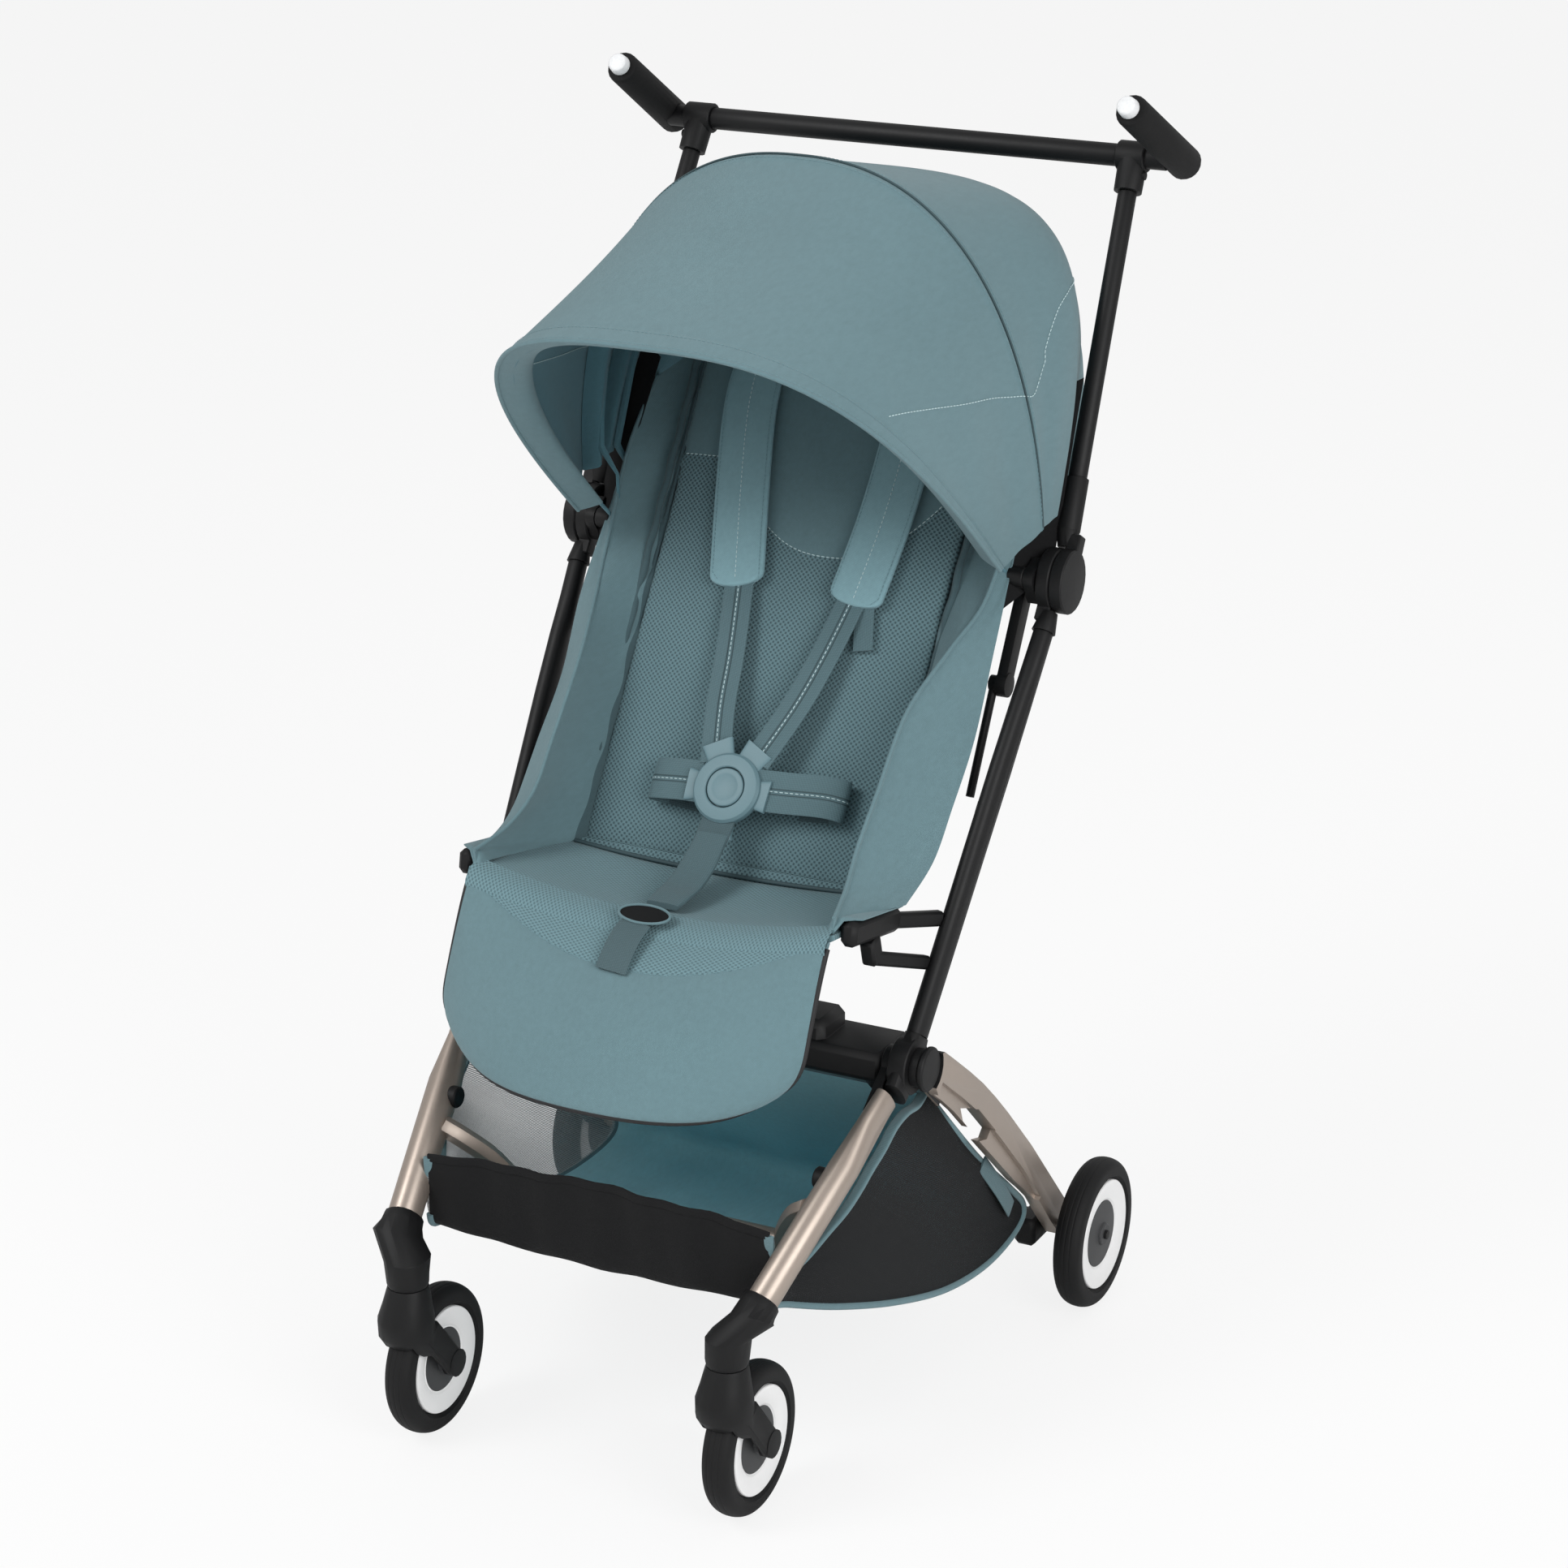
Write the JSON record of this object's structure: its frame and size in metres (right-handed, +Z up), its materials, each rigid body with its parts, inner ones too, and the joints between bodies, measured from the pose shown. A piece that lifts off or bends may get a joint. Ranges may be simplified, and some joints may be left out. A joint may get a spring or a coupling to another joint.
{
  "type": "stroller",
  "caption": "Compact folding pushchair: push bar, hooded reclining seat with harness, leg rest, basket, castered front legs and fixed rear wheels.",
  "frame": {"origin": "on the floor in the middle plane, between the front and rear wheels, under the seat", "axes": "+Z up, the stroller faces -Y, and +X is the child's left"},
  "size_m": [0.514, 0.677, 1.0225],
  "materials": {
    "black_tube": "matte",
    "black_plastic": "matte",
    "champagne_metal": "satin",
    "teal_fabric": "woven",
    "teal_plastic": "matte",
    "black_mesh": "mesh",
    "grip_foam": "matte",
    "silver_cap": "satin",
    "tyre": "matte",
    "white_rim": "satin"
  },
  "bodies": {
    "main_frame": {"upright_r": "black_tube", "upright_l": "black_tube", "knuckle_r": "black_plastic", "knuckle_l": "black_plastic", "hub_housing_r": "black_plastic", "hub_housing_l": "black_plastic", "hub_cap_r": "black_plastic", "hub_cap_l": "black_plastic", "cross_member": "black_plastic", "seat_rail_r": "black_plastic", "seat_rail_l": "black_plastic", "seat_pad": "teal_fabric", "side_wing_r": "teal_fabric", "side_wing_l": "teal_fabric", "buckle": "teal_fabric", "basket": "black_mesh"},
    "push_bar": {"post_drum_r": "black_plastic", "post_drum_l": "black_plastic", "upper_post_r": "black_tube", "upper_post_l": "black_tube", "handle_fitting_r": "black_plastic", "handle_fitting_l": "black_plastic", "crossbar": "black_tube", "grip_r": "grip_foam", "grip_l": "grip_foam", "grip_cap_r": "silver_cap", "grip_cap_l": "silver_cap"},
    "fold_rod_right": {"fold_rod_r": "black_tube"},
    "fold_rod_left": {"fold_rod_l": "black_tube"},
    "front_legs": {"front_leg_r": "champagne_metal", "front_leg_l": "champagne_metal", "caster_socket_r": "black_plastic", "caster_socket_l": "black_plastic", "front_brace": "champagne_metal"},
    "caster_right": {"caster_fork_r": "black_plastic"},
    "caster_left": {"caster_fork_l": "black_plastic"},
    "front_wheel_right": {"front_tyre_r": "tyre", "front_rim_r": "white_rim"},
    "front_wheel_left": {"front_tyre_l": "tyre", "front_rim_l": "white_rim"},
    "rear_legs": {"rear_leg_r": "champagne_metal", "rear_leg_l": "champagne_metal", "rear_axle_bar": "black_plastic"},
    "rear_wheel_right": {"rear_tyre_r": "tyre", "rear_rim_r": "white_rim"},
    "rear_wheel_left": {"rear_tyre_l": "tyre", "rear_rim_l": "white_rim"},
    "brake": {"brake_pedal": "black_plastic"},
    "backrest": {"backrest_pad": "teal_fabric", "harness_r": "teal_fabric", "harness_l": "teal_fabric"},
    "leg_rest": {"leg_rest": "teal_fabric"},
    "canopy_base": {"canopy_hinge_r": "black_plastic", "canopy_hinge_l": "black_plastic", "canopy_rear_bow": "black_plastic", "canopy_rear_panel": "teal_fabric"},
    "canopy_mid": {"canopy_mid_bow": "black_plastic"},
    "canopy_front": {"canopy_front_bow": "black_plastic", "canopy_front_panel": "teal_fabric"},
    "buckle_button": {"buckle_button": "teal_plastic"}
  },
  "joints": [
    {"name": "push_bar_fold", "type": "hinge", "parent": "main_frame", "child": "push_bar", "pos_m": [0, 0.1086, 0.65], "axis": [1, 0, 0], "range_deg": [0, 140], "deforming": ["basket", "side_wing_r", "side_wing_l"]},
    {"name": "fold_rod_right_turn", "type": "hinge", "parent": "push_bar", "child": "fold_rod_right", "pos_m": [0.179, 0.065, 0.572], "axis": [1, 0, 0], "range_deg": [-155, 0]},
    {"name": "fold_rod_left_turn", "type": "hinge", "parent": "push_bar", "child": "fold_rod_left", "pos_m": [-0.179, 0.065, 0.572], "axis": [1, 0, 0], "range_deg": [-155, 0]},
    {"name": "front_legs_fold", "type": "hinge", "parent": "main_frame", "child": "front_legs", "pos_m": [0, -0.1227, 0.3181], "axis": [1, 0, 0], "range_deg": [0, 145]},
    {"name": "rear_legs_fold", "type": "hinge", "parent": "main_frame", "child": "rear_legs", "pos_m": [0, -0.1227, 0.3181], "axis": [1, 0, 0], "range_deg": [0, 73]},
    {"name": "caster_right_swivel", "type": "hinge", "parent": "front_legs", "child": "caster_right", "pos_m": [0.1415, -0.3232, 0.1417], "axis": [0, 0, 1], "continuous": true},
    {"name": "caster_left_swivel", "type": "hinge", "parent": "front_legs", "child": "caster_left", "pos_m": [-0.1415, -0.3232, 0.1417], "axis": [0, 0, 1], "continuous": true},
    {"name": "front_wheel_right_spin", "type": "hinge", "parent": "caster_right", "child": "front_wheel_right", "pos_m": [0.1415, -0.2882, 0.0612], "axis": [1, 0, 0], "continuous": true},
    {"name": "front_wheel_left_spin", "type": "hinge", "parent": "caster_left", "child": "front_wheel_left", "pos_m": [-0.1415, -0.2882, 0.0612], "axis": [1, 0, 0], "continuous": true},
    {"name": "rear_wheel_right_spin", "type": "hinge", "parent": "rear_legs", "child": "rear_wheel_right", "pos_m": [0.243, 0.1498, 0.0647], "axis": [1, 0, 0], "continuous": true},
    {"name": "rear_wheel_left_spin", "type": "hinge", "parent": "rear_legs", "child": "rear_wheel_left", "pos_m": [-0.243, 0.1498, 0.0647], "axis": [1, 0, 0], "continuous": true},
    {"name": "brake_pedal_press", "type": "hinge", "parent": "rear_legs", "child": "brake", "pos_m": [0, 0.1498, 0.0647], "axis": [1, 0, 0], "range_deg": [-20, 0]},
    {"name": "backrest_recline", "type": "hinge", "parent": "main_frame", "child": "backrest", "pos_m": [0, -0.0675, 0.4105], "axis": [1, 0, 0], "range_deg": [-25, 0], "deforming": ["harness_r", "harness_l"]},
    {"name": "leg_rest_tilt", "type": "hinge", "parent": "main_frame", "child": "leg_rest", "pos_m": [0, -0.186, 0.437], "axis": [1, 0, 0], "range_deg": [-48, 0]},
    {"name": "canopy_level", "type": "hinge", "parent": "push_bar", "child": "canopy_base", "pos_m": [0, 0.088, 0.655], "axis": [1, 0, 0], "range_deg": [-76, 0]},
    {"name": "canopy_fold", "type": "hinge", "parent": "canopy_base", "child": "canopy_front", "pos_m": [0, 0.088, 0.655], "axis": [1, 0, 0], "range_deg": [-36, 0], "deforming": ["canopy_front_panel", "canopy_rear_panel"]},
    {"name": "canopy_mid_fold", "type": "hinge", "parent": "canopy_base", "child": "canopy_mid", "pos_m": [0, 0.088, 0.655], "axis": [1, 0, 0], "range_deg": [-13, 0]},
    {"name": "buckle_press", "type": "slide", "parent": "main_frame", "child": "buckle_button", "axis": [0, 0.8387, -0.5446], "range_m": [0, 0.002], "stiffness_N_per_m": 200}
  ],
  "couplings": [
    {"joint": "fold_rod_right_turn", "follows": "push_bar_fold", "ratio": -1.096},
    {"joint": "fold_rod_left_turn", "follows": "push_bar_fold", "ratio": -1.096},
    {"joint": "front_legs_fold", "follows": "push_bar_fold", "ratio": 1.0286},
    {"joint": "rear_legs_fold", "follows": "push_bar_fold", "ratio": 0.5143},
    {"joint": "canopy_level", "follows": "push_bar_fold", "ratio": -0.54},
    {"joint": "canopy_mid_fold", "follows": "canopy_fold", "ratio": 0.35}
  ]
}
